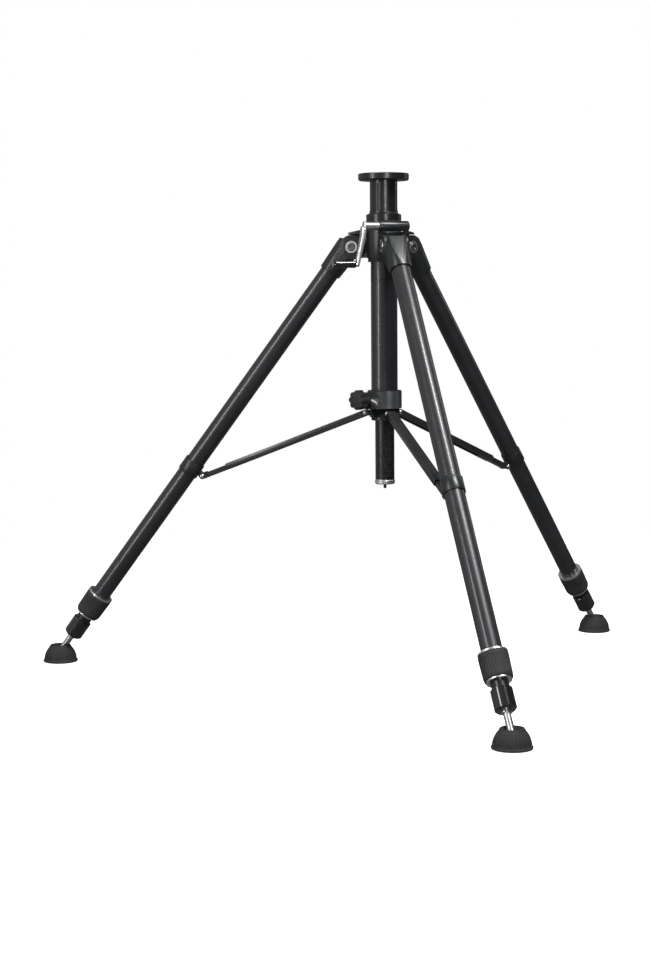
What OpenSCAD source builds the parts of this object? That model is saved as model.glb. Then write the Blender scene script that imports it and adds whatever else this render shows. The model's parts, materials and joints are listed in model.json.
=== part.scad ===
/* [Stance] */
// Angle of each leg from the vertical, with the legs fully spread
splay = 36.94; // [34:0.5:38]
// Height of the leg pivots above the floor
pivot_z = 650.5; // [645:0.5:655]
// Distance of the leg pivots from the column's axis
pivot_r = 46; // [45:0.5:48]

/* [Head] */
// Diameter of the mounting plate
plate_d = 76; // [60:1:90]
// Thickness of the mounting plate
plate_t = 10.3; // [8:0.1:14]
// Tapping diameter of the central screw hole
screw_hole_d = 8; // [6:0.1:9]
// Diameter of the neck below the plate
neck_d = 41.4; // [38:0.1:50]
// Height of the neck
neck_h = 44.2; // [30:0.1:60]

/* [Column] */
// Diameter of the geared column
column_d = 29; // [28:0.5:30]
// Height of the column's lower end above the floor
column_foot_z = 300; // [296:1:320]
// Diameter of the sleeve that guides the column
sleeve_d = 40; // [38:0.5:41]

/* [Gears] */
// Module of the rack and the gears
gear_module = 1; // [1:0.01:1.02]
// Teeth on the rack pinion
pinion_teeth = 16; // [16:1:16]
// Teeth on the idler gear
idler_teeth = 15; // [15:1:15]
// Teeth on the crank gear
crank_teeth = 12; // [12:1:12]
// Width of the gears
gear_w = 10; // [8:0.5:10]

/* [Crank] */
// Distance from the crank's shaft to its grip
crank_arm_l = 56; // [50:0.5:56]
// Sideways flare of the arm between the eye and the grip
crank_flare = 8.8; // [8:0.2:14]
// Length of the grip
grip_l = 34.8; // [28:0.2:36]
// Diameter of the grip
grip_d = 11; // [10:0.5:13]

/* [Legs] */
// Diameter of the outer leg tube
tube_d = 29; // [27:0.5:29]
// Diameter of the sliding inner tube
inner_d = 24; // [20:0.5:24]
// Distance of the tube's axis outside the leg pivot
tube_offset = 8; // [7:0.5:9]
// Diameter of the rubber twist grip
twist_d = 41.4; // [38:0.2:44]
// Number of flutes around the twist grip
twist_flutes = 24; // [12:1:30]

/* [Feet] */
// Diameter of the rubber foot
foot_d = 54.5; // [50:0.5:60]
// Height of the rubber foot
foot_h = 27; // [25:0.5:29]
// Diameter of the steel spike
spike_d = 10.2; // [8:0.1:11]

/* [Brace] */
// Height of the brace collar's rod pins above the floor
brace_z = 400.8; // [398:0.2:404]
// Distance of the collar's rod pins from the column's axis
brace_r = 29; // [28.5:0.1:30]
// Width of the brace rods
rod_w = 13; // [9:0.5:14]
// Depth of the brace rods
rod_h = 10; // [9:0.5:11]

/* [Hidden] */
$fn = 96;

// Azimuths of the legs and of the brace knob
FRONT = -90;
RIGHT = 30;
LEFT = 150;
KNOB = -150;

// Clearances: beside a sliding round face, and around a turning pin
slide_gap = 0.3;
pin_gap = 0.05;

// Heights of the head's stack, from the hub's top upwards
hub_top_z = 688.2;
shoulder_top_z = 698.7;
wiper_top_z = 704.7;
neck_z = wiper_top_z + 0.1;
plate_z = neck_z + neck_h;
plate_top_z = plate_z + plate_t;

// The end cap passes up the sleeve until it meets the narrower guide
cap_r = 15.15;
cap_h = 7.3;
column_travel = 280;

// Sleeve, and the bush that closes its lower end
sleeve_foot_z = 394;
bush_z = 389.8;
bush_r = 20.2;

// Spider casting
hub_r = 26;
hub_z = 628;
hub_step_z = 634;
sleeve_top_z = 666;
lug_r = 16;
lug_w = 20;
roof_z = 669.4;
roof_t = 2.2;
roof_r = 54;
roof_w = 32;
roof_slope = 0.2;

// Gear train: the rack faces the front leg and the shafts lie across it
gear_z = 679.5;
pitch_line = 12;
tooth_pitch = PI * gear_module;
addendum = 0.78 * gear_module;
dedendum = 1.1 * gear_module;
tooth_share = 0.4;
pressure_angle = 20;
pinion_y = -(pitch_line + gear_module * pinion_teeth / 2);
idler_y = pinion_y - gear_module * (pinion_teeth + idler_teeth) / 2;
crank_y = idler_y - gear_module * (idler_teeth + crank_teeth) / 2;
stub_r = 2.5;
stub_end = 8.5;
shaft_r = 3.5;
housing_r = 7.7;
housing_left = 23.4;
housing_right = 23.6;
housing_block = 10;
block_low = 9.4;
block_reach = -45;
rack_w = 13;
rack_back = 9.4;
rack_below = 119;
rack_above = 8;
rack_top_z = gear_z + tooth_pitch * (rack_above + 0.5);

// Crank stations along its shaft, from the column's centre plane
eye_x = -46.8;
eye_t = 3;
arm_x = -50.2;
arm_t = 6;
arm_end_t = 5;
arm_end_r = 3.8;
grip_x = arm_x - crank_flare - 0.3;

// Stations along the leg, measured from its pivot
socket_top = 20;
head_end = 52;
hood_n = 24;
hood_half = 12.3;
cuff_mid = 425.8;
cuff_l = 22;
tube_end = 702;
grip_top = 684;
grip_end = 721;
inner_top = 190;
tip_top = 734;
tip_end = 764.6;
ball_at = 799.4;
head_half_w = 18;
head_r = 18;
cuff_pin_in = 23.6;
tip_r = 14.85;
ball_r = 6.5;

// Brace rods run from the collar's pins to the cuffs' pins
pin_r = 2;
rod_wall = 1.2;
ear_half = rod_w / 2 - rod_wall - 1.1;
rod_short = 42;
fork_l = 8;
shank_l = 72;
cuff_pin_x = pivot_r + (tube_offset - cuff_pin_in) * cos(splay) + cuff_mid * sin(splay);
cuff_pin_z = pivot_z + (tube_offset - cuff_pin_in) * sin(splay) - cuff_mid * cos(splay);
rod_l = norm([cuff_pin_x - brace_r, cuff_pin_z - brace_z]);
rod_dip = atan2(brace_z - cuff_pin_z, cuff_pin_x - brace_r);

// Brace collar
collar_z = 408;
collar_top_z = 435.2;
collar_r = 26;
collar_foot_r = 22.4;
boss_r = 11;
boss_in = 18;
boss_end = 42;
knob_z = 422.4;
knob_at = 49.5;
knob_t = 15;
knob_r = 14.9;
lobe_r = 4.2;

BLACK = [0.07, 0.075, 0.08];
CAST = [0.10, 0.105, 0.11];
RUBBER = [0.05, 0.05, 0.055];
STEEL = [0.72, 0.72, 0.72];
CHROME = [0.82, 0.82, 0.83];

// Turns a solid drawn along +Z so that it lies along +X
module along_x() rotate([0, 90, 0]) children();

// Turns a solid drawn along +Z so that it lies along +Y, centred there
module across() rotate([90, 0, 0]) children();

// Leg frame: origin at the pivot, +X square to the leg and outwards, +Z up the leg
module leg_place(azimuth)
    rotate([0, 0, azimuth]) translate([pivot_r, 0, pivot_z]) rotate([0, -splay, 0]) children();

// Tube axis in the leg frame, at a station below the pivot, still with +Z up the leg
module on_tube(azimuth, station)
    leg_place(azimuth) translate([tube_offset, 0, -station]) children();

// Rod frame: origin at the collar's pin, +X down the rod towards the cuff
module rod_place(azimuth)
    rotate([0, 0, azimuth]) translate([brace_r, 0, brace_z]) rotate([0, rod_dip, 0]) children();

module ring(outer_r, inner_r, h)
    difference() {
        cylinder(r = outer_r, h = h);
        translate([0, 0, -1]) cylinder(r = inner_r, h = h + 2);
    }

// Involute gear, drawn about +Z, with a tooth centred at the angle `phase`
function involute(a) = tan(a) - a * PI / 180;
function half_tooth(teeth, r) =
    let (pitch_r = gear_module * teeth / 2,
         base_r = pitch_r * cos(pressure_angle),
         a = r > base_r ? acos(base_r / r) : 0)
    180 * tooth_share / teeth + (involute(pressure_angle) - involute(a)) * 180 / PI;
function gear_points(teeth, phase) =
    let (pitch_r = gear_module * teeth / 2,
         root_r = pitch_r - dedendum,
         base_r = pitch_r * cos(pressure_angle),
         tip_r = pitch_r + addendum,
         flank = concat([root_r], [for (k = [0:4]) base_r + (tip_r - base_r) * k / 4]))
    [for (i = [0:teeth - 1], side = [-1, 1], k = [0:5])
        let (r = flank[side < 0 ? k : 5 - k],
             a = phase + 360 * i / teeth + side * half_tooth(teeth, r))
        r * [cos(a), sin(a)]];
module gear(teeth, phase)
    rotate([90, 0, 90]) translate([0, 0, -gear_w / 2])
        linear_extrude(height = gear_w) polygon(gear_points(teeth, phase));

module top_plate() color(BLACK)
    difference() {
        rotate_extrude() polygon([
            [0, plate_z], [plate_d / 2 - 1.6, plate_z], [plate_d / 2, plate_z + 1.6],
            [plate_d / 2, plate_top_z - 0.8], [plate_d / 2 - 0.8, plate_top_z], [0, plate_top_z]
        ]);
        translate([0, 0, plate_z - 1]) cylinder(d = screw_hole_d, h = plate_t + 2);
    }

module neck() color(BLACK)
    difference() {
        translate([0, 0, neck_z]) cylinder(d = neck_d, h = neck_h);
        translate([0, 0, neck_z - 1]) cylinder(d = column_d, h = neck_h - 3);
        translate([0, 0, plate_z - 5]) cylinder(d = screw_hole_d + 2, h = 6);
        rotate([0, 0, -128]) translate([neck_d / 2 - 1.2, -2.5, neck_z - 1]) cube([3, 5, neck_h - 3]);
        rotate([0, 0, -20]) translate([neck_d / 2 - 2, 0, neck_z + 19]) along_x() cylinder(r = 2.2, h = 3);
    }

module column_tube() color(BLACK)
    difference() {
        translate([0, 0, column_foot_z]) cylinder(d = column_d, h = plate_z - 4 - column_foot_z);
        translate([0, 0, column_foot_z - 1]) cylinder(r = 8, h = plate_z - column_foot_z - 7);
        translate([-rack_w / 2, -column_d, column_foot_z - 1])
            cube([rack_w, column_d - rack_back, rack_top_z - column_foot_z + 1]);
    }

// Rack: teeth centred every pitch below and above the pinion
module gear_rack() color(BLACK) {
    root_y = pitch_line - dedendum;
    tip_y = pitch_line + addendum;
    half_p = tooth_share * tooth_pitch / 2;
    half_root = half_p + dedendum * tan(pressure_angle);
    half_tip = half_p - addendum * tan(pressure_angle);
    low = gear_z - tooth_pitch * (rack_below + 0.5);
    teeth = [for (i = [-rack_below:rack_above], p = [
            [root_y, -half_root], [tip_y, -half_tip], [tip_y, half_tip], [root_y, half_root]
        ]) [-p[0], gear_z + i * tooth_pitch + p[1]]];
    rotate([90, 0, 90]) translate([0, 0, -rack_w / 2]) linear_extrude(height = rack_w)
        polygon(concat(
            [[-rack_back, low], [-root_y, low]], teeth,
            [[-root_y, rack_top_z], [-rack_back, rack_top_z]]
        ));
}

module end_cap() color(CHROME)
    translate([0, 0, column_foot_z - cap_h]) rotate_extrude() polygon([
        [0, 0], [cap_r - 1.5, 0], [cap_r, 1.5], [cap_r, cap_h - 1.4], [cap_r - 0.6, cap_h - 0.8],
        [cap_r - 0.6, cap_h], [0, cap_h]
    ]);

module end_cap_screw() color(BLACK)
    translate([0, 0, column_foot_z - cap_h - 6.4]) difference() {
        cylinder(r = 2.3, h = 6.4);
        translate([-3, -0.4, -1]) cube([6, 0.8, 2]);
    }

// Roof over a lug: a wedge that slopes down to a rounded tip
module roof()
    intersection() {
        translate([0, roof_w / 2, 0]) rotate([90, 0, 0]) linear_extrude(height = roof_w) polygon([
            [hub_r - 5, roof_z], [roof_r, roof_z], [roof_r, roof_z + roof_t],
            [hub_r - 5, roof_z + roof_t + roof_slope * (roof_r - hub_r + 5)]
        ]);
        translate([0, 0, roof_z]) cylinder(r = roof_r, h = 20);
    }

module spider() color(CAST)
    difference() {
        union() {
            translate([0, 0, hub_step_z]) cylinder(r = hub_r, h = hub_top_z - hub_step_z);
            translate([0, 0, hub_z]) cylinder(r = hub_r - 2, h = hub_step_z - hub_z + 1);
            for (azimuth = [FRONT, RIGHT, LEFT]) rotate([0, 0, azimuth]) {
                translate([0, -lug_w / 2, pivot_z - lug_r])
                    cube([pivot_r, lug_w, roof_z - pivot_z + lug_r + 1]);
                translate([pivot_r, lug_w / 2, pivot_z]) across() cylinder(r = lug_r, h = lug_w);
                roof();
            }
        }
        translate([0, 0, hub_z - 1]) cylinder(d = sleeve_d, h = sleeve_top_z - hub_z + 1);
        translate([0, 0, hub_z]) cylinder(r = column_d / 2 + slide_gap, h = hub_top_z - hub_z + 1);
        translate([-housing_block, block_reach, gear_z - block_low])
            cube([2 * housing_block, -block_reach, 30]);
        translate([-30, crank_y, gear_z]) along_x() cylinder(r = housing_r + pin_gap, h = 60);
        for (azimuth = [FRONT, RIGHT, LEFT]) rotate([0, 0, azimuth])
            translate([pivot_r, 25, pivot_z]) across() cylinder(r = 5, h = 50);
    }

module center_sleeve() color(BLACK)
    difference() {
        translate([0, 0, sleeve_foot_z]) cylinder(d = sleeve_d, h = sleeve_top_z - sleeve_foot_z);
        translate([0, 0, sleeve_foot_z - 1])
            cylinder(r = column_d / 2 + slide_gap, h = sleeve_top_z - sleeve_foot_z + 2);
        translate([0, 0, sleeve_foot_z - 1])
            cylinder(r = cap_r + slide_gap, h = column_foot_z + column_travel + 3 - sleeve_foot_z);
        for (z = [594.9, 622.7]) translate([0, 0, z]) ring(sleeve_d, sleeve_d / 2 - 0.5, 1.2);
    }

module sleeve_bush() color(BLACK)
    translate([0, 0, bush_z]) ring(bush_r, cap_r + slide_gap, sleeve_foot_z - bush_z);

// Wiper: a ring as wide as the neck that flares out on to the shoulder
module wiper_ring() color(BLACK)
    rotate_extrude() polygon([
        [column_d / 2 + slide_gap, shoulder_top_z], [24.2, shoulder_top_z], [24.2, shoulder_top_z + 0.5],
        [22.6, shoulder_top_z + 1], [21.8, shoulder_top_z + 1.8], [21.4, shoulder_top_z + 3],
        [21.4, wiper_top_z - 0.5], [20.9, wiper_top_z], [column_d / 2 + slide_gap, wiper_top_z]
    ]);

module shoulder_ring() color(BLACK)
    difference() {
        rotate_extrude() polygon([
            [column_d / 2 + slide_gap, hub_top_z], [hub_r + 0.4, hub_top_z],
            [hub_r + 0.4, shoulder_top_z - 0.8], [hub_r - 0.4, shoulder_top_z],
            [column_d / 2 + slide_gap, shoulder_top_z]
        ]);
        translate([0, 0, hub_top_z + 2.6]) ring(hub_r + 2, hub_r - 0.1, 0.9);
        translate([-gear_w / 2 - 0.3, pinion_y, gear_z]) along_x()
            cylinder(r = gear_module * pinion_teeth / 2 + addendum + slide_gap, h = gear_w + 0.6);
    }

// Housing: a block over the gears and a barrel across it, with a rounded right end
module gear_housing() color(CAST) {
    inner_y = -(column_d / 2 + 1);
    barrel_l = housing_left + housing_right;
    difference() {
        union() {
            translate([-housing_block, block_reach, gear_z - block_low])
                cube([2 * housing_block, inner_y - block_reach, hub_top_z - gear_z + block_low]);
            translate([-housing_left, crank_y, gear_z]) along_x() rotate_extrude() polygon([
                [0, 0], [housing_r - 0.5, 0], [housing_r, 0.5], [housing_r, barrel_l - 3],
                [housing_r - 0.9, barrel_l - 0.9], [housing_r - 3, barrel_l], [0, barrel_l]
            ]);
        }
        for (g = [[pinion_y, pinion_teeth], [idler_y, idler_teeth], [crank_y, crank_teeth]])
            translate([-gear_w / 2 - 0.3, g[0], gear_z]) along_x()
                cylinder(r = gear_module * g[1] / 2 + addendum + 0.25, h = gear_w + 0.6);
        for (y = [pinion_y, idler_y]) translate([-stub_end - 0.2, y, gear_z]) along_x()
            cylinder(r = stub_r + pin_gap, h = 2 * stub_end + 0.4);
        translate([-housing_left - 1, crank_y, gear_z]) along_x()
            cylinder(r = shaft_r + pin_gap, h = barrel_l - 1.5);
    }
}

// Gear with a stub shaft on each side, turning in the housing
module stub_gear(y, teeth, phase) color(STEEL)
    translate([0, y, gear_z]) union() {
        gear(teeth, phase);
        translate([-stub_end, 0, 0]) along_x() cylinder(r = stub_r, h = 2 * stub_end);
    }
module rack_pinion() stub_gear(pinion_y, pinion_teeth, 180 / pinion_teeth);
module idler_gear() stub_gear(idler_y, idler_teeth, 0);

module crank_shaft() color(STEEL)
    translate([0, crank_y, gear_z]) union() {
        gear(crank_teeth, 0);
        translate([eye_x + 1, 0, 0]) along_x() cylinder(r = shaft_r, h = housing_right - 3 - eye_x - 1);
    }

// Disc of the crank arm: outer face at x, centre at z
module arm_disc(x, z, r, t) translate([x, 0, z]) along_x() cylinder(r = r, h = t, $fn = 32);

// Crank: a hub and an eye on the shaft, an arm that flares out and a pin for the grip
module crank_arm() color(CHROME) {
    end_x = arm_x - crank_flare;
    translate([0, crank_y, gear_z]) difference() {
        union() {
            translate([eye_x, 0, 0]) along_x() cylinder(r = 6, h = -eye_x - housing_left - 0.4);
            translate([eye_x, 0, 0]) along_x() cylinder(r = 6.6, h = eye_t);
            hull() {
                arm_disc(arm_x, -6.2, 5.8, arm_t);
                arm_disc(arm_x - 0.6, -16, 5.5, arm_t);
            }
            hull() {
                arm_disc(arm_x - 0.6, -16, 5.5, arm_t);
                arm_disc(end_x, -crank_arm_l, arm_end_r, arm_end_t);
            }
            translate([grip_x - grip_l + 1, 0, -crank_arm_l]) along_x() cylinder(r = 2.4, h = grip_l + 1);
            translate([grip_x - grip_l - 0.1, 0, -crank_arm_l]) along_x() cylinder(r = 3.2, h = 1.4);
        }
        translate([eye_x + 1, 0, 0]) along_x() cylinder(r = shaft_r, h = -eye_x);
    }
}

module crank_grip() color(RUBBER)
    translate([grip_x, crank_y, gear_z - crank_arm_l]) rotate([0, -90, 0]) difference() {
        rotate_extrude() polygon([
            [2.45, 0], [grip_d / 2 - 0.8, 0], [grip_d / 2, 0.8], [grip_d / 2, grip_l - 1],
            [grip_d / 2 - 1, grip_l], [2.45, grip_l]
        ]);
        translate([0, 0, grip_l - 1.5]) cylinder(r = 3.5, h = 3);
    }

module brace_collar() color(CAST)
    difference() {
        union() {
            translate([0, 0, collar_z]) rotate_extrude() polygon([
                [15, 0], [collar_r, 0], [collar_r, collar_top_z - collar_z - 1.2],
                [collar_r - 1.2, collar_top_z - collar_z], [15, collar_top_z - collar_z]
            ]);
            translate([0, 0, sleeve_foot_z + 0.5]) cylinder(r = collar_foot_r, h = collar_z - sleeve_foot_z);
            for (azimuth = [FRONT, RIGHT, LEFT]) rotate([0, 0, azimuth]) {
                translate([brace_r, ear_half, brace_z]) across() cylinder(r = 4.2, h = 2 * ear_half);
                translate([20, -ear_half, brace_z - 4.2]) cube([brace_r - 20, 2 * ear_half, 8.4]);
            }
            rotate([0, 0, KNOB]) translate([boss_in, 0, knob_z]) {
                along_x() cylinder(r = boss_r, h = boss_end - boss_in);
                translate([0, -boss_r, collar_z - knob_z])
                    cube([boss_end - boss_in, 2 * boss_r, knob_z - collar_z]);
            }
        }
        translate([0, 0, sleeve_foot_z])
            cylinder(r = sleeve_d / 2 + slide_gap, h = collar_top_z - sleeve_foot_z + 1);
        rotate([0, 0, KNOB]) translate([10, 0, knob_z]) along_x() cylinder(r = 4 + pin_gap, h = 40);
        for (azimuth = [FRONT, RIGHT, LEFT]) rotate([0, 0, azimuth])
            translate([brace_r, 10, brace_z]) across() cylinder(r = pin_r, h = 20);
    }

// Rivet across a brace joint, with a domed head on each end
module rivet(half_l) {
    translate([0, half_l, 0]) across() cylinder(r = pin_r, h = 2 * half_l);
    for (side = [-1, 1]) rotate([side * 90, 0, 0]) translate([0, 0, half_l]) rotate_extrude() polygon([
        [0, 0], [3.4, 0], [3.4, 0.7], [2.4, 1.7], [0, 2]
    ]);
}

module collar_pins() color(STEEL)
    for (azimuth = [FRONT, RIGHT, LEFT]) rotate([0, 0, azimuth])
        translate([brace_r, 0, brace_z]) rivet(rod_w / 2 + 0.3);

module collar_knob() color(RUBBER)
    rotate([0, 0, KNOB]) translate([knob_at, 0, knob_z]) along_x() difference() {
        union() {
            translate([0, 0, boss_end + 0.4 - knob_at]) cylinder(r = 9.4, h = knob_at - boss_end);
            cylinder(r = knob_r - 2.4, h = knob_t);
            for (i = [0:7]) rotate([0, 0, 45 * i]) translate([knob_r - lobe_r, 0, 0])
                cylinder(r = lobe_r, h = knob_t - 1.2);
        }
        translate([0, 0, -9]) cylinder(r = 4, h = 17);
    }

module knob_screw() color(STEEL)
    rotate([0, 0, KNOB]) translate([sleeve_d / 2 + 0.6, 0, knob_z]) along_x()
        cylinder(r = 4, h = knob_at + 8 - sleeve_d / 2 - 0.6);

module pivot_bolt(azimuth) color(CHROME)
    rotate([0, 0, azimuth]) translate([pivot_r, 0, pivot_z]) difference() {
        union() {
            translate([0, head_half_w + 1, 0]) across() cylinder(r = 5, h = 2 * head_half_w + 2);
            for (side = [-1, 1]) rotate([side * 90, 0, 0]) translate([0, 0, head_half_w + 0.3])
                rotate_extrude() polygon([
                [0, 0], [9.1, 0], [9.1, 0.8], [6.6, 0.8], [6.6, 1.9], [6, 2.5], [0, 2.5]
            ]);
        }
        for (side = [-1, 1]) rotate([side * 90, 0, 0]) translate([0, 0, head_half_w + 0.8])
            cylinder(r = 3.4, h = 4, $fn = 6);
    }

module leg_head(azimuth) color(CAST)
    leg_place(azimuth) difference() {
        union() {
            translate([0, head_half_w, 0]) across() cylinder(r = head_r, h = 2 * head_half_w);
            hull() {
                translate([0, 0, -12]) linear_extrude(height = 12.3) polygon([
                    [-8, -head_half_w], [hood_n - 10, -head_half_w], [hood_n, -hood_half],
                    [hood_n, hood_half], [hood_n - 10, head_half_w], [-8, head_half_w]
                ]);
                translate([tube_offset, 0, -head_end]) cylinder(r = tube_d / 2 + 2.5, h = 8, $fn = 48);
            }
        }
        translate([0, lug_w / 2 + slide_gap, 0]) across()
            cylinder(r = lug_r + 0.6, h = lug_w + 2 * slide_gap);
        translate([-40, -lug_w / 2 - slide_gap, -lug_r - 0.8]) cube([40, lug_w + 2 * slide_gap, 60]);
        translate([0, -lug_w / 2 - slide_gap, 0]) cube([40, lug_w + 2 * slide_gap, 60]);
        translate([0, 30, 0]) across() cylinder(r = 5 + pin_gap, h = 60);
        translate([tube_offset, 0, -head_end - 1]) cylinder(d = tube_d, h = head_end + 1 - socket_top);
    }

module outer_tube(azimuth) color(BLACK)
    on_tube(azimuth, tube_end) ring(tube_d / 2, inner_d / 2 + slide_gap, tube_end - socket_top);

module cuff(azimuth) color(CAST)
    difference() {
        union() {
            on_tube(azimuth, cuff_mid + cuff_l / 2) cylinder(r = tube_d / 2 + 1.7, h = cuff_l);
            leg_place(azimuth) translate([tube_offset - cuff_pin_in, 0, -cuff_mid]) {
                translate([0, ear_half, 0]) across() cylinder(r = 4.2, h = 2 * ear_half);
                translate([0, -ear_half, -4.2]) cube([cuff_pin_in - tube_d / 2, 2 * ear_half, 8.4]);
            }
        }
        on_tube(azimuth, cuff_mid + cuff_l) cylinder(d = tube_d, h = 2 * cuff_l);
        leg_place(azimuth) translate([tube_offset - cuff_pin_in, 10, -cuff_mid]) across()
            cylinder(r = pin_r, h = 20);
    }

module cuff_pin(azimuth) color(STEEL)
    leg_place(azimuth) translate([tube_offset - cuff_pin_in, 0, -cuff_mid]) rivet(rod_w / 2 + 0.3);

module twist_grip(azimuth) color(RUBBER) {
    length = grip_end - grip_top;
    on_tube(azimuth, grip_end) difference() {
        rotate_extrude() polygon([
            [inner_d / 2 + slide_gap, 0], [twist_d / 2 - 3.2, 0], [twist_d / 2 - 1.4, 1.2],
            [twist_d / 2 - 0.7, 3], [twist_d / 2, length], [inner_d / 2 + slide_gap, length]
        ]);
        translate([0, 0, grip_end - tube_end - 0.5]) cylinder(r = tube_d / 2 + slide_gap, h = length);
        for (i = [0:twist_flutes - 1]) rotate([0, 0, 360 * i / twist_flutes])
            translate([twist_d / 2 + 0.5, 0, 4]) cylinder(r = 1.5, h = length - 8);
    }
}

module twist_rings(azimuth) color(CHROME) {
    on_tube(azimuth, grip_top) ring(twist_d / 2 - 0.3, tube_d / 2 + slide_gap, 2.6);
    on_tube(azimuth, grip_end + 2) ring(twist_d / 2 - 3.4, inner_d / 2 + slide_gap, 2);
}

module inner_tube(azimuth) color(BLACK)
    on_tube(azimuth, tip_top + 12) ring(inner_d / 2, inner_d / 2 - 1.5, tip_top + 12 - inner_top);

module tip_sleeve(azimuth) color(BLACK)
    on_tube(azimuth, tip_end) difference() {
        rotate_extrude() polygon([
            [0, 0], [tip_r - 2.4, 0], [tip_r, 2.6], [tip_r, tip_end - tip_top - 0.8],
            [tip_r - 0.8, tip_end - tip_top], [0, tip_end - tip_top]
        ]);
        translate([0, 0, tip_end - tip_top - 12]) cylinder(d = inner_d, h = 14);
        translate([0, 0, -1]) cylinder(d = spike_d, h = 13);
    }

module spike(azimuth) color(STEEL)
    on_tube(azimuth, ball_at) {
        cylinder(d = spike_d, h = ball_at - tip_end + 12);
        sphere(r = ball_r);
        translate([0, 0, ball_at - tip_end - 3.2]) ring(7.4, spike_d / 2 - 0.1, 3.2);
    }

// Foot: a rubber dome on the spike's ball, with a slot for the spike to lean in
module foot(azimuth) color(RUBBER) {
    ball_x = pivot_r + tube_offset * cos(splay) + ball_at * sin(splay);
    ball_z = pivot_z + tube_offset * sin(splay) - ball_at * cos(splay);
    rotate([0, 0, azimuth]) translate([ball_x, 0, 0]) difference() {
        rotate_extrude() polygon([
            [0, 0], [foot_d / 2 - 0.6, 0], [foot_d / 2, 0.8], [foot_d / 2, 2.8], [foot_d / 2 - 1, 3.4],
            [foot_d / 2 - 1.9, 10], [foot_d / 2 - 3.9, 16], [foot_d / 2 - 7.5, 22.4],
            [foot_d / 2 - 9.8, foot_h - 1.4], [foot_d / 2 - 11.2, foot_h], [0, foot_h]
        ]);
        translate([0, 0, ball_z]) sphere(r = ball_r + slide_gap);
        translate([0, 0, ball_z]) cylinder(r1 = spike_d / 2 + 0.4, r2 = 13, h = foot_h - ball_z + 0.01);
        translate([0, 0, ball_z]) rotate([0, -splay - 1, 0]) cylinder(d = spike_d + 1.4, h = 40);
        translate([0, 0, ball_z + 3]) rotate([0, -splay - 4, 0]) translate([0, -5.8, 6]) cube([6, 11.6, 30]);
        for (i = [0:17]) rotate([0, 0, 20 * i + 10]) translate([foot_d / 2 + 0.2, 0, 3.6]) rotate([0, -16, 0])
            cylinder(r = 1.3, h = 20);
    }
}

// Brace rod: a channel open below, with round cheeks on the collar's pin
module brace_rod(azimuth) color(BLACK)
    rod_place(azimuth) difference() {
        union() {
            translate([0, rod_w / 2, 0]) across() cylinder(r = rod_h / 2, h = rod_w);
            translate([0, -rod_w / 2, -rod_h / 2]) cube([rod_l - rod_short, rod_w, rod_h]);
        }
        translate([-20, -rod_w / 2 + rod_wall, -20])
            cube([rod_l + 20, rod_w - 2 * rod_wall, 20 + rod_h / 2 - 1.4]);
        translate([-20, -rod_w / 2 + rod_wall, -20]) cube([26, rod_w - 2 * rod_wall, 40]);
        translate([0, 10, 0]) across() cylinder(r = pin_r + pin_gap, h = 20);
    }

// Brace end: a fork on the cuff's pin, with a shank that lies inside the channel
module brace_end(azimuth) color(STEEL)
    rod_place(azimuth) translate([rod_l, 0, 0]) difference() {
        union() {
            translate([0, rod_w / 2, 0]) across() cylinder(r = rod_h / 2 - 0.2, h = rod_w);
            translate([-fork_l, -rod_w / 2, -rod_h / 2 + 0.2]) cube([fork_l, rod_w, rod_h - 0.4]);
            translate([-shank_l, -rod_w / 2 + rod_wall + slide_gap, -rod_h / 2 + 0.2])
                cube([shank_l - 6, rod_w - 2 * rod_wall - 2 * slide_gap, rod_h - 2]);
        }
        translate([-5.5, -ear_half - 0.3, -20]) cube([40, 2 * ear_half + 0.6, 40]);
        translate([0, 10, 0]) across() cylinder(r = pin_r + pin_gap, h = 20);
    }

top_plate();
neck();
column_tube();
gear_rack();
end_cap();
end_cap_screw();
spider();
center_sleeve();
sleeve_bush();
wiper_ring();
shoulder_ring();
gear_housing();
rack_pinion();
idler_gear();
crank_shaft();
crank_arm();
crank_grip();
brace_collar();
collar_pins();
collar_knob();
knob_screw();
pivot_bolt(FRONT);  // front_pivot_bolt
leg_head(FRONT);  // front_leg_head
outer_tube(FRONT);  // front_outer_tube
cuff(FRONT);  // front_cuff
cuff_pin(FRONT);  // front_cuff_pin
twist_grip(FRONT);  // front_twist_grip
twist_rings(FRONT);  // front_twist_rings
inner_tube(FRONT);  // front_inner_tube
tip_sleeve(FRONT);  // front_tip_sleeve
spike(FRONT);  // front_spike
foot(FRONT);  // front_foot
brace_rod(FRONT);  // front_brace_rod
brace_end(FRONT);  // front_brace_end
pivot_bolt(RIGHT);  // right_pivot_bolt
leg_head(RIGHT);  // right_leg_head
outer_tube(RIGHT);  // right_outer_tube
cuff(RIGHT);  // right_cuff
cuff_pin(RIGHT);  // right_cuff_pin
twist_grip(RIGHT);  // right_twist_grip
twist_rings(RIGHT);  // right_twist_rings
inner_tube(RIGHT);  // right_inner_tube
tip_sleeve(RIGHT);  // right_tip_sleeve
spike(RIGHT);  // right_spike
foot(RIGHT);  // right_foot
brace_rod(RIGHT);  // right_brace_rod
brace_end(RIGHT);  // right_brace_end
pivot_bolt(LEFT);  // left_pivot_bolt
leg_head(LEFT);  // left_leg_head
outer_tube(LEFT);  // left_outer_tube
cuff(LEFT);  // left_cuff
cuff_pin(LEFT);  // left_cuff_pin
twist_grip(LEFT);  // left_twist_grip
twist_rings(LEFT);  // left_twist_rings
inner_tube(LEFT);  // left_inner_tube
tip_sleeve(LEFT);  // left_tip_sleeve
spike(LEFT);  // left_spike
foot(LEFT);  // left_foot
brace_rod(LEFT);  // left_brace_rod
brace_end(LEFT);  // left_brace_end
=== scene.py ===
import json
import math

import bpy
from mathutils import Matrix, Vector


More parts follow.
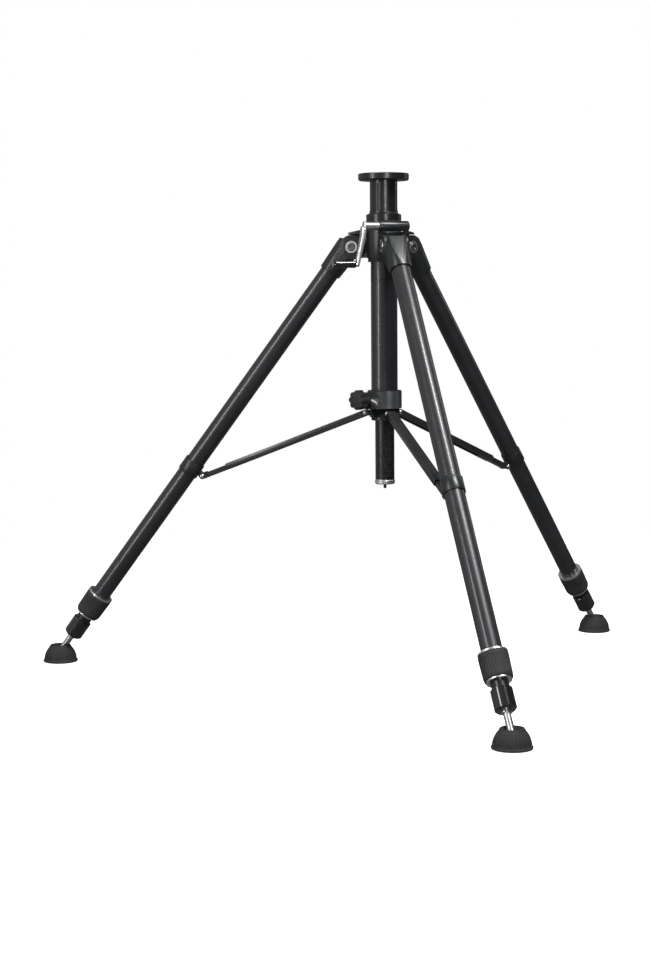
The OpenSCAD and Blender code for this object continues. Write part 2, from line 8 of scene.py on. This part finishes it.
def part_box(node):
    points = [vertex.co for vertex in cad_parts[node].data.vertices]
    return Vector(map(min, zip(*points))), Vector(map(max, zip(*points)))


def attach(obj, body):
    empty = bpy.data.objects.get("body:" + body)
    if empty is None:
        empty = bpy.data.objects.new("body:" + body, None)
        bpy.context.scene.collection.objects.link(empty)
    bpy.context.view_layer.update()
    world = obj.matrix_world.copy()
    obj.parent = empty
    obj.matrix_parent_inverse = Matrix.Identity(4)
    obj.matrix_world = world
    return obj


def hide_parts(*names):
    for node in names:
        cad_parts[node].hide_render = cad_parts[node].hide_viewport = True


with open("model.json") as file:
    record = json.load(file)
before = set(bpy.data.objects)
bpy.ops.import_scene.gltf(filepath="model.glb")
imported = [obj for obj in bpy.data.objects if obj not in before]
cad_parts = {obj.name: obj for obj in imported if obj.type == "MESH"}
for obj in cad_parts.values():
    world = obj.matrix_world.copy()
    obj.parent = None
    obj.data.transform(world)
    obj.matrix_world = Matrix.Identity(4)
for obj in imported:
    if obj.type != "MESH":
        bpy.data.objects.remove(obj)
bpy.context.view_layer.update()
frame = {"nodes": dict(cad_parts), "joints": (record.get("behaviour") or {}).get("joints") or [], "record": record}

scene = bpy.context.scene
LEGS = {"front": -90.0, "right": 30.0, "left": 150.0}
MM = 0.001


# --- Shader maths -------------------------------------------------------------------------

class Socket:
    """A shader value, with Python's operators standing for Math nodes."""

    def __init__(self, shader, link):
        self.shader = shader
        self.link = link

    def math(self, operation, other=None):
        inputs = {0: self} if other is None else {0: self, 1: other}
        return self.shader.node("ShaderNodeMath", inputs, operation=operation)

    def __add__(self, other):
        return self.math("ADD", other)

    def __mul__(self, other):
        return self.math("MULTIPLY", other)

    def __sub__(self, other):
        return self.math("SUBTRACT", other)

    def __rsub__(self, other):
        return self.shader.node("ShaderNodeMath", {0: other, 1: self}, operation="SUBTRACT")

    def __pow__(self, other):
        return self.math("POWER", other)

    __radd__ = __add__
    __rmul__ = __mul__


class Nodes:
    """A node tree, with one method that adds a node and returns its output."""

    def __init__(self, tree):
        self.tree = tree

    def node(self, kind, inputs=None, out=0, ramp=None, **settings):
        made = self.tree.nodes.new(kind)
        for key, value in settings.items():
            setattr(made, key, value)
        if ramp:
            stops = made.color_ramp.elements
            while len(stops) < len(ramp):
                stops.new(0.5)
            for stop, (place, value) in zip(stops, ramp):
                stop.position = place
                stop.color = value if isinstance(value, tuple) else (value, value, value, 1)
        for key, value in (inputs or {}).items():
            if isinstance(value, Socket):
                self.tree.links.new(value.link, made.inputs[key])
            else:
                made.inputs[key].default_value = value
        return Socket(self, made.outputs[out])


class Shader(Nodes):
    """One material's node tree around a Principled BSDF."""

    def __init__(self, name, **constants):
        self.material = bpy.data.materials.new(name)
        self.material.use_nodes = True
        super().__init__(self.material.node_tree)
        self.surface = self.tree.nodes["Principled BSDF"]
        for socket, value in constants.items():
            self.surface.inputs[socket.replace("_", " ")].default_value = value
        self.material.diffuse_color = self.surface.inputs["Base Color"].default_value

    def feed(self, name, socket):
        self.tree.links.new(socket.link, self.surface.inputs[name])

    def place(self, scale=(1, 1, 1)):
        where = self.node("ShaderNodeTexCoord", out=3)
        return self.node("ShaderNodeMapping", {"Vector": where, "Scale": scale})

    def noise(self, scale, detail=4.0, rough=0.5, stretch=(1, 1, 1)):
        inputs = {"Vector": self.place(stretch), "Scale": scale, "Detail": detail, "Roughness": rough}
        return self.node("ShaderNodeTexNoise", inputs)

    def bump(self, height, distance, strength=0.5):
        inputs = {"Height": height, "Distance": distance, "Strength": strength}
        self.feed("Normal", self.node("ShaderNodeBump", inputs))


# --- Materials ----------------------------------------------------------------------------

def tube_paint():
    """Hard black paint under a thin clear coat, its gloss and tone varying at random."""
    paint = Shader("tube_paint", Base_Color=(0.012, 0.013, 0.015, 1), Metallic=0.0, Specular_IOR_Level=0.5,
                   Coat_Weight=0.35, Coat_Roughness=0.12)
    grain = paint.noise(900, detail=2)
    smudge = paint.noise(14, detail=5, rough=0.65)
    paint.feed("Roughness", 0.26 + smudge * 0.14 + grain * 0.05)
    tone = paint.node("ShaderNodeValToRGB", {"Fac": smudge},
                      ramp=[(0.3, (0.010, 0.011, 0.013, 1)), (0.75, (0.017, 0.018, 0.021, 1))])
    paint.feed("Base Color", tone)
    paint.bump(grain, 0.00004, 0.35)
    return paint.material


def cast_paint():
    """Fine-textured black paint over a casting, a little worn and dusty."""
    paint = Shader("cast_paint", Base_Color=(0.02, 0.021, 0.023, 1), Metallic=0.0, Specular_IOR_Level=0.5)
    pebble = paint.node("ShaderNodeTexVoronoi", {"Vector": paint.place(), "Scale": 1400.0},
                        feature="SMOOTH_F1")
    cloud = paint.noise(35, detail=6, rough=0.6)
    paint.feed("Roughness", 0.26 + cloud * 0.12)
    tone = paint.node("ShaderNodeValToRGB", {"Fac": cloud},
                      ramp=[(0.3, (0.008, 0.009, 0.010, 1)), (0.7, (0.016, 0.018, 0.020, 1))])
    paint.feed("Base Color", tone)
    paint.bump(pebble + cloud * 0.6, 0.00012, 0.4)
    return paint.material


def machined_black():
    """Black anodising over turned metal: fine rings round the upright axis."""
    anodised = Shader("machined_black", Base_Color=(0.008, 0.008, 0.009, 1), Metallic=0.0)
    turning = anodised.noise(60, detail=3, stretch=(1, 1, 60))
    cloud = anodised.noise(22, detail=4)
    anodised.feed("Roughness", 0.22 + turning * 0.05 + cloud * 0.06)
    tone = anodised.node("ShaderNodeValToRGB", {"Fac": turning},
                         ramp=[(0.3, (0.006, 0.006, 0.007, 1)), (0.75, (0.011, 0.011, 0.012, 1))])
    anodised.feed("Base Color", tone)
    anodised.bump(turning, 0.00002, 0.08)
    return anodised.material


def gloss_black():
    gloss = Shader("tip_gloss", Base_Color=(0.008, 0.008, 0.009, 1), Coat_Weight=0.6, Coat_Roughness=0.05)
    cloud = gloss.noise(40, detail=5)
    gloss.feed("Roughness", 0.10 + cloud * 0.10)
    gloss.bump(gloss.noise(500, detail=2), 0.00002, 0.08)
    return gloss.material


def rubber(name="foot_rubber", dark=0.017):
    """Matt moulded rubber with a fine grain and a trace of dust."""
    moulded = Shader(name, Base_Color=(dark, dark, dark, 1), Specular_IOR_Level=0.35)
    grain = moulded.noise(1600, detail=3)
    dust = moulded.noise(60, detail=7, rough=0.7)
    moulded.feed("Roughness", 0.62 + dust * 0.22)
    dusty = dark * 2.1
    tone = moulded.node("ShaderNodeValToRGB", {"Fac": dust},
                        ramp=[(0.4, (dark, dark, dark * 1.05, 1)), (0.85, (dusty, dusty, dusty, 1))])
    moulded.feed("Base Color", tone)
    moulded.bump(grain, 0.00012, 0.5)
    return moulded.material


def satin_chrome():
    chrome = Shader("satin_chrome", Base_Color=(0.72, 0.71, 0.69, 1), Metallic=1.0)
    brushing = chrome.noise(120, detail=4, stretch=(1, 1, 8))
    cloud = chrome.noise(30, detail=4)
    chrome.feed("Roughness", 0.24 + brushing * 0.10 + cloud * 0.06)
    tone = chrome.node("ShaderNodeValToRGB", {"Fac": cloud},
                       ramp=[(0.3, (0.62, 0.61, 0.60, 1)), (0.7, (0.80, 0.79, 0.77, 1))])
    chrome.feed("Base Color", tone)
    chrome.bump(brushing, 0.00002, 0.1)
    return chrome.material


def turned_steel():
    steel = Shader("turned_steel", Base_Color=(0.52, 0.51, 0.50, 1), Metallic=1.0)
    turning = steel.noise(300, detail=3)
    cloud = steel.noise(40, detail=4)
    steel.feed("Roughness", 0.24 + turning * 0.16)
    tone = steel.node("ShaderNodeValToRGB", {"Fac": cloud},
                      ramp=[(0.3, (0.42, 0.41, 0.40, 1)), (0.7, (0.60, 0.59, 0.57, 1))])
    steel.feed("Base Color", tone)
    steel.bump(turning, 0.00004, 0.3)
    return steel.material


def dark_steel():
    steel = Shader("dark_steel", Base_Color=(0.16, 0.16, 0.165, 1), Metallic=0.9)
    cloud = steel.noise(60, detail=5)
    steel.feed("Roughness", 0.30 + cloud * 0.18)
    steel.bump(steel.noise(500, detail=3), 0.00004, 0.3)
    return steel.material


def cut_teeth():
    """Worn black on the rack's teeth, with the metal showing through."""
    worn = Shader("cut_teeth", Base_Color=(0.06, 0.062, 0.06, 1), Metallic=0.7)
    cloud = worn.noise(90, detail=5)
    worn.feed("Roughness", 0.24 + cloud * 0.16)
    worn.feed("Base Color", worn.node("ShaderNodeValToRGB", {"Fac": cloud}, ramp=[
        (0.3, (0.040, 0.041, 0.040, 1)), (0.7, (0.090, 0.093, 0.089, 1))]))
    return worn.material


FINISH = {
    "tube_black": tube_paint(),
    "cast_black": cast_paint(),
    "machined_black": machined_black(),
    "tip_black": gloss_black(),
    "rubber": rubber(),
    "knob_black": rubber("knob_moulding", 0.022),
    "grip_rubber": rubber("grip_rubber", 0.021),
    "dark_steel": dark_steel(),
    "gear_rack": cut_teeth(),
    "chrome": satin_chrome(),
    "steel": turned_steel(),
}


def dress_nodes():
    """Gives each carried-over node its own finish, or the one that its slot in the record names."""
    for part in frame["record"]["subparts"]:
        slots = frame["nodes"][part["node"]].data.materials
        slots.clear()
        slots.append(FINISH.get(part["node"]) or FINISH[part["material_slot"]])


dress_nodes()


# --- Modelling helpers --------------------------------------------------------------------

BODY_OF = {node: body for body, nodes in frame["record"]["behaviour"]["bodies"].items() for node in nodes}
SLOT_OF = {part["node"]: part["material_slot"] for part in frame["record"]["subparts"]}


def finish_piece(piece, body, slot, *nodes, material=None):
    """Gives a finished piece its finish, hangs it on its body's empty, and hides the nodes that it replaces."""
    piece.data.materials.clear()
    piece.data.materials.append(material or FINISH[slot])
    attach(piece, body)
    if nodes:
        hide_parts(*nodes)


def only(piece):
    bpy.ops.object.select_all(action="DESELECT")
    piece.select_set(True)
    bpy.context.view_layer.objects.active = piece


def edit(piece):
    only(piece)
    bpy.ops.object.mode_set(mode="EDIT")
    bpy.ops.mesh.select_all(action="DESELECT")


def leave():
    bpy.ops.object.mode_set(mode="OBJECT")


def pick_faces(piece, test):
    """Selects the faces whose centre and normal pass a test, from edit mode."""
    leave()
    for face in piece.data.polygons:
        face.select = test(face.center, face.normal)
    bpy.ops.object.mode_set(mode="EDIT")
    bpy.ops.mesh.select_mode(type="FACE")


def apply(piece, kind, **settings):
    only(piece)
    modifier = piece.modifiers.new(kind.lower(), kind)
    for key, value in settings.items():
        setattr(modifier, key, value)
    bpy.ops.object.modifier_apply(modifier=modifier.name)


def soften(piece, width, segments=2, angle=28):
    apply(piece, "BEVEL", width=width, segments=segments, limit_method="ANGLE", use_clamp_overlap=True,
          angle_limit=math.radians(angle), harden_normals=False)


def smooth(piece, angle=32):
    only(piece)
    bpy.ops.object.shade_smooth_by_angle(angle=math.radians(angle))


def outward(piece):
    edit(piece)
    bpy.ops.mesh.select_all(action="SELECT")
    bpy.ops.mesh.remove_doubles(threshold=1e-6)
    bpy.ops.mesh.normals_make_consistent(inside=False)
    leave()


def settle(piece, matrix):
    """Moves a piece that was modelled about the origin to its place, and applies the move."""
    only(piece)
    piece.matrix_world = matrix
    bpy.ops.object.transform_apply(location=True, rotation=True, scale=True)


def turned(name, outline, sides=64, hollow=False):
    """A turned solid: a disc drawn up ring by ring through an outline of (radius, height) in mm.

    A hollow one's outline comes back down the inside, and its two ends are bridged."""
    radius, height = outline[0]
    bpy.ops.object.select_all(action="DESELECT")
    bpy.ops.mesh.primitive_circle_add(vertices=sides, radius=radius * MM, fill_type="NGON",
                                      location=(0, 0, height * MM))
    piece = bpy.context.object
    piece.name = name
    bpy.ops.object.transform_apply(location=True)
    bpy.ops.object.mode_set(mode="EDIT")
    bpy.ops.mesh.select_all(action="SELECT")
    bpy.ops.mesh.select_mode(type="FACE")
    for next_radius, next_height in outline[1:]:
        rise = (next_height - height) * MM
        bpy.ops.mesh.extrude_region_move(TRANSFORM_OT_translate={"value": (0, 0, rise)})
        grow = next_radius / radius
        bpy.ops.transform.resize(value=(grow, grow, 1), center_override=(0, 0, next_height * MM))
        radius, height = next_radius, next_height
    if hollow:
        bpy.ops.mesh.delete(type="FACE")
        bpy.ops.mesh.select_mode(type="EDGE")
        bpy.ops.mesh.select_non_manifold()
        bpy.ops.mesh.bridge_edge_loops()
    leave()
    outward(piece)
    return piece


def rounded_copy(node, width, segments=2, angle=28, ending="_cast"):
    """A carried-over node's shape with its edges rounded, as casting and painting leave them."""
    source = frame["nodes"][node]
    piece = bpy.data.objects.new(node + ending, source.data.copy())
    scene.collection.objects.link(piece)
    edit(piece)
    bpy.ops.mesh.select_all(action="SELECT")
    bpy.ops.mesh.remove_doubles(threshold=2e-6)
    bpy.ops.mesh.dissolve_limited(angle_limit=math.radians(0.6))
    leave()
    soften(piece, width * MM, segments, angle)
    smooth(piece)
    finish_piece(piece, BODY_OF[node], SLOT_OF[node], node)
    return piece


# --- Places, in the same leg and shaft frames as the frame's own ---------------------------

JOINTS = {joint["name"]: joint for joint in frame["joints"]}


def joint_place(name):
    joint = JOINTS[name]
    return Vector(joint["pos_m"]), Vector(joint["axis"]).normalized()


def facing(place, axis, side=(0, 0, 1)):
    """A matrix whose +Z runs along an axis, with its +X as near as it can be to a side."""
    up = Vector(axis).normalized()
    across = Vector(side) - up * up.dot(Vector(side))
    across.normalize()
    turn = Matrix((across, up.cross(across), up)).transposed().to_4x4()
    return Matrix.Translation(place) @ turn


# --- Feet ---------------------------------------------------------------------------------

FOOT_RIBS = 24


def make_foot(leg):
    """Rubber dome with a rolled rim, shallow ribs and an open cup for the spike's ball."""
    low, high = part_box(leg + "_foot")
    base = (high.x - low.x) / 2 / MM
    top = (high.z - low.z) / MM
    middle = (low + high) / 2
    outline = [
        (base - 1.4, 0), (base - 0.5, 0.25), (base, 1.0), (base, 2.4), (base - 0.35, 3.0), (base - 1.0, 3.3),
        (base - 1.35, 4.2), (base - 1.6, 6.5), (base - 2.1, 9.5), (base - 3.0, 12.6), (base - 4.2, 15.6),
        (base - 5.8, 18.6), (base - 7.6, 21.2), (base - 9.4, 23.4), (base - 10.2, 24.4),
        (base - 10.5, 25.6), (base - 11.0, top - 0.5), (base - 11.8, top), (base - 12.6, top - 0.3),
        (base - 13.1, top - 1.2), (11.4, 22.0), (9.6, 18.6), (7.4, 16.2), (6.9, 15.0), (6.2, 12.6),
        (4.0, 10.8),
    ]
    foot = turned(leg + "_foot_rubber", outline, sides=FOOT_RIBS * 4)
    edit(foot)
    slice_angle = 2 * math.pi / FOOT_RIBS

    def between_ribs(centre, normal):
        around = (math.atan2(centre.y, centre.x) % slice_angle) / slice_angle
        on_dome = 4.5 < centre.z / MM < 21.0 and centre.xy.length > 0.014
        return 0.25 < around < 0.75 and on_dome and normal.z < 0.9

    pick_faces(foot, between_ribs)
    bpy.ops.mesh.inset(thickness=0.0006, depth=-0.0005, use_even_offset=False)
    leave()
    soften(foot, 0.00022, segments=2, angle=22)
    smooth(foot, 40)
    settle(foot, Matrix.Translation((middle.x, middle.y, low.z)))
    finish_piece(foot, leg + "_shoe", "rubber", leg + "_foot")


# --- Twist grips --------------------------------------------------------------------------

GRIP_FLUTES = 30


def make_twist_grip(leg):
    """Rubber-covered clamp nut: shallow flutes between two plain bands, rounded at the foot."""
    end, axis = joint_place(leg + "_twist_lock")
    outline = [
        (12.3, 0), (17.2, 0), (18.2, 0.3), (18.9, 1.0), (19.4, 2.2), (19.8, 4.0), (20.0, 6.0), (20.35, 20.0),
        (20.6, 31.0), (20.6, 34.6), (20.35, 36.2), (19.7, 36.9), (18.6, 37), (14.8, 37), (14.8, 18.5),
        (12.3, 18.5),
    ]
    grip = turned(leg + "_twist_rubber", outline, sides=GRIP_FLUTES * 4, hollow=True)
    edit(grip)
    flute_angle = 2 * math.pi / GRIP_FLUTES

    def flute(centre, normal):
        around = (math.atan2(centre.y, centre.x) % flute_angle) / flute_angle
        on_grip = 5.5 < centre.z / MM < 31.5 and centre.xy.length > 0.0185
        return around < 0.5 and on_grip and abs(normal.z) < 0.5

    pick_faces(grip, flute)
    bpy.ops.mesh.inset(thickness=0.0004, depth=-0.00055, use_even_offset=False)
    leave()
    soften(grip, 0.0002, segments=1, angle=20)
    smooth(grip, 38)
    foot_end = end + axis * 0.019
    settle(grip, facing(foot_end, -axis, side=(0, 0, 1)))
    finish_piece(grip, leg + "_twist", "rubber", leg + "_twist_grip", material=FINISH["grip_rubber"])


# --- Pivot bolts --------------------------------------------------------------------------

# From a pivot's middle to the seat of its washers, on the casting's cheeks
CHEEK = 0.0183


def make_pivot_bolts(leg):
    """On each cheek a bright washer and a dark socket-headed bolt, joined by the bolt's shank."""
    place, axis = joint_place(leg + "_leg_fold")
    shank = turned(leg + "_pivot_shank", [(5, -17), (5, 17)], sides=40)
    settle(shank, facing(place, axis))
    parts = [shank]
    for side in (-1, 1):
        washer = turned(leg + "_washer", [
            (6.4, 0), (9.0, 0), (9.1, 0.15), (9.1, 0.75), (8.9, 1.0), (6.4, 1.0)], sides=56, hollow=True)
        settle(washer, facing(place + axis * side * CHEEK, axis * side))
        parts.append(washer)
    join(parts)
    smooth(shank)
    finish_piece(shank, "frame", "chrome", leg + "_pivot_bolt")
    heads = []
    for side in (-1, 1):
        head = turned(leg + "_bolt_heads", [
            (6.3, 0), (6.3, 1.9), (6.1, 2.3), (5.6, 2.5), (3.9, 2.5), (3.6, 2.3), (3.5, 1.0), (1.0, 0.9)
        ], sides=48)
        settle(head, facing(place + axis * side * CHEEK, axis * side))
        heads.append(head)
    join(heads)
    smooth(heads[0])
    finish_piece(heads[0], "frame", "steel", material=FINISH["dark_steel"])


def join(pieces):
    bpy.ops.object.select_all(action="DESELECT")
    for piece in pieces:
        piece.select_set(True)
    bpy.context.view_layer.objects.active = pieces[0]
    bpy.ops.object.join()


# --- Small screws -------------------------------------------------------------------------

def make_screw(name, body, place, axis, radius, height, slot="steel"):
    """A slotted cheese-head screw, standing on its seat along an axis."""
    screw = turned(name, [(radius, -0.4), (radius, height - 0.35), (radius - 0.15, height - 0.1),
                          (radius - 0.4, height)], sides=40)
    bpy.ops.object.select_all(action="DESELECT")
    bpy.ops.mesh.primitive_cube_add(size=1, location=(0, 0, height * MM))
    cutter = bpy.context.object
    cutter.scale = (radius * 3 * MM, radius * 0.26 * MM, height * 0.7 * MM)
    bpy.ops.object.transform_apply(scale=True)
    apply(screw, "BOOLEAN", operation="DIFFERENCE", solver="EXACT", object=cutter)
    bpy.data.objects.remove(cutter)
    smooth(screw)
    settle(screw, facing(place, axis))
    finish_piece(screw, body, slot)


# --- Knob, crank grip ---------------------------------------------------------------------

KNOB_LOBES = 8
# Distances of a lobe's centre from the knob's axis, in mm, and of the knob's back from the column's
LOBE_AT = 10.65
KNOB_BACK = 0.0495


def make_knob():
    """Moulded knob: a core with a stepped neck and a flat face, and eight round lobes let into it."""
    place, axis = joint_place("knob_turn")
    knob = turned("collar_knob_moulding", [
        (9.2, -7.1), (9.4, -6.8), (9.4, -0.6), (9.8, 0), (11.6, 0), (12.2, 0.4), (12.4, 1.0), (12.4, 13.8),
        (12.0, 14.6), (11.2, 15)], sides=96)
    lobe = turned("lobe", [(3.4, 0.2), (4.0, 0.6), (4.2, 1.4), (4.2, 13.2), (3.9, 14.1), (3.2, 14.7)],
                  sides=40)
    for number in range(KNOB_LOBES):
        turn = Matrix.Rotation(2 * math.pi * number / KNOB_LOBES, 4, "Z")
        let_in = lobe.copy()
        let_in.data = lobe.data.copy()
        scene.collection.objects.link(let_in)
        settle(let_in, turn @ Matrix.Translation((LOBE_AT * MM, 0, 0)))
        apply(knob, "BOOLEAN", operation="UNION", solver="EXACT", object=let_in)
        bpy.data.objects.remove(let_in)
    bpy.data.objects.remove(lobe)
    smooth(knob, 36)
    settle(knob, facing(axis * KNOB_BACK + Vector((0, 0, place.z)), axis, side=(0, 0, 1)))
    finish_piece(knob, "knob", "knob_black", "collar_knob")


def make_crank_grip():
    """Black moulded grip, waisted a little, with a collar at its outer end and a screw in it."""
    low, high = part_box("crank_grip")
    middle = (low + high) / 2
    length = (high.x - low.x) / MM
    r = (high.z - low.z) / 2 / MM
    grip = turned("crank_grip_moulding", [
        (2.5, 0), (r - 1.0, 0), (r - 0.35, 0.25), (r - 0.05, 0.9), (r, 2.2), (r - 0.25, 9),
        (r - 0.35, length / 2),
        (r - 0.25, length - 9), (r - 0.05, length - 6.6), (r - 0.05, length - 6.0), (r - 0.45, length - 5.7),
        (r - 0.45, length - 5.2), (r, length - 4.9), (r, length - 1.0), (r - 0.3, length - 0.3),
        (r - 1.0, length), (3.6, length), (3.5, length - 0.3), (3.5, length - 1.5), (2.5, length - 1.5)],
        sides=56, hollow=True)
    smooth(grip, 36)
    settle(grip, facing(Vector((high.x, middle.y, middle.z)), (-1, 0, 0)))
    finish_piece(grip, "grip", "knob_black", "crank_grip", material=FINISH["tip_black"])
    make_screw("crank_grip_screw", "crank", Vector((low.x + 0.0002, middle.y, middle.z)), (-1, 0, 0),
               2.9, 0.25)


SLEEVE_JOINT_Z = 0.601


def make_sleeve_joint():
    """Dark ring where the sleeve's upper piece meets its lower one."""
    ring = turned("sleeve_joint", [(19.6, 0), (20.1, 0), (20.1, 0.9), (19.6, 0.9)], sides=96, hollow=True)
    smooth(ring)
    settle(ring, Matrix.Translation((0, 0, SLEEVE_JOINT_Z)))
    finish_piece(ring, "frame", "machined_black")


def make_small_screws():
    """Screws in the roof's front corner and the crank's eye, and a grub screw in the neck."""
    make_screw("roof_screw", "frame", Vector((0.0125, -0.0522, 0.6716)), (0, -0.2, 1), 1.8, 0.7)
    low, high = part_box("crank_shaft")
    middle = (low + high) / 2
    make_screw("crank_eye_screw", "crank", Vector((low.x, middle.y, middle.z)), (-1, 0, 0), 2.9, 0.9)
    make_screw("neck_grub_screw", "column", Vector((0.0206, 0, 0.7295)), (1, 0, 0), 2.2, 0.6)


for leg in LEGS:
    make_foot(leg)
    make_twist_grip(leg)
    make_pivot_bolts(leg)
    rounded_copy(leg + "_leg_head", 0.9, segments=3)
    rounded_copy(leg + "_cuff", 0.4)
    rounded_copy(leg + "_brace_rod", 0.5, segments=2)
make_knob()
make_crank_grip()
make_sleeve_joint()
make_small_screws()
rounded_copy("spider", 0.7, segments=2)
rounded_copy("brace_collar", 0.7, segments=2)
rounded_copy("crank_arm", 0.8, segments=3, ending="_plated")
rounded_copy("gear_housing", 0.5, segments=2)


# --- Camera, light and floor --------------------------------------------------------------

def make_camera():
    """Stands in front and a little to the left, just below the height of the plate."""
    lens = bpy.data.cameras.new("camera")
    lens.lens = 72.56
    lens.sensor_width = 36.0
    lens.clip_end = 50
    heading, pitch, roll = math.radians(-15.75), math.radians(5.339), math.radians(-0.448)
    turn = (Matrix.Rotation(heading, 4, "Z") @ Matrix.Rotation(math.pi / 2 - pitch, 4, "X")
            @ Matrix.Rotation(roll, 4, "Z"))
    camera = bpy.data.objects.new("camera", lens)
    camera.matrix_world = Matrix.Translation((-0.8946, -2.8358, 0.5663)) @ turn
    scene.collection.objects.link(camera)
    scene.camera = camera


def soft_light(name, place, size, power, aim=(0, 0, 0.4)):
    light = bpy.data.lights.new(name, "AREA")
    light.shape = "RECTANGLE"
    light.size, light.size_y = size
    light.energy = power
    lamp = bpy.data.objects.new(name, light)
    lamp.location = place
    lamp.rotation_euler = (Vector(aim) - Vector(place)).to_track_quat("-Z", "Y").to_euler()
    scene.collection.objects.link(lamp)


def make_studio():
    """White all round for the camera; for reflections, soft on the left and dark on the right."""
    scene.view_settings.view_transform = "Standard"
    world = bpy.data.worlds.new("studio")
    world.use_nodes = True
    scene.world = world
    sky = Nodes(world.node_tree)
    across = sky.node("ShaderNodeSeparateXYZ", {0: sky.node("ShaderNodeTexCoord", out=0)}, out=0)
    glow = sky.node("ShaderNodeMapRange", {0: across, 1: -0.8, 2: 0.5, 3: 0.42, 4: 0.06})
    seen = sky.node("ShaderNodeLightPath", out=0)
    strength = seen * 1.0 + (1 - seen) * glow
    world.node_tree.links.new(strength.link, world.node_tree.nodes["Background"].inputs["Strength"])
    world.node_tree.nodes["Background"].inputs["Color"].default_value = (1, 1, 1, 1)
    soft_light("left_strip", (-2.6, -1.0, 1.3), (0.35, 2.4), 34)
    soft_light("front_strip", (-0.1, -2.8, 0.7), (0.14, 1.3), 22)
    soft_light("over_strip", (0.72, -1.15, 2.55), (0.55, 0.9), 68, aim=(0, -0.35, 0.3))
    soft_light("right_strip", (1.9, 0.6, 1.5), (0.35, 1.6), 3)
    soft_light("top_box", (-0.5, 0.2, 2.9), (1.2, 1.2), 9)
    bpy.ops.object.select_all(action="DESELECT")
    bpy.ops.mesh.primitive_circle_add(vertices=96, radius=1.9, fill_type="NGON", location=(0, 0, -0.0005))
    floor = bpy.context.object
    floor.name = "floor"
    pale = Shader("pale_floor", Base_Color=(0.86, 0.86, 0.86, 1), Roughness=0.9, Emission_Strength=0.70)
    seen = pale.node("ShaderNodeLightPath", out=0)
    pale.feed("Emission Color", seen)
    pale.feed("Base Color", 0.12 + seen * 0.74)
    floor.data.materials.append(pale.material)


make_camera()
make_studio()
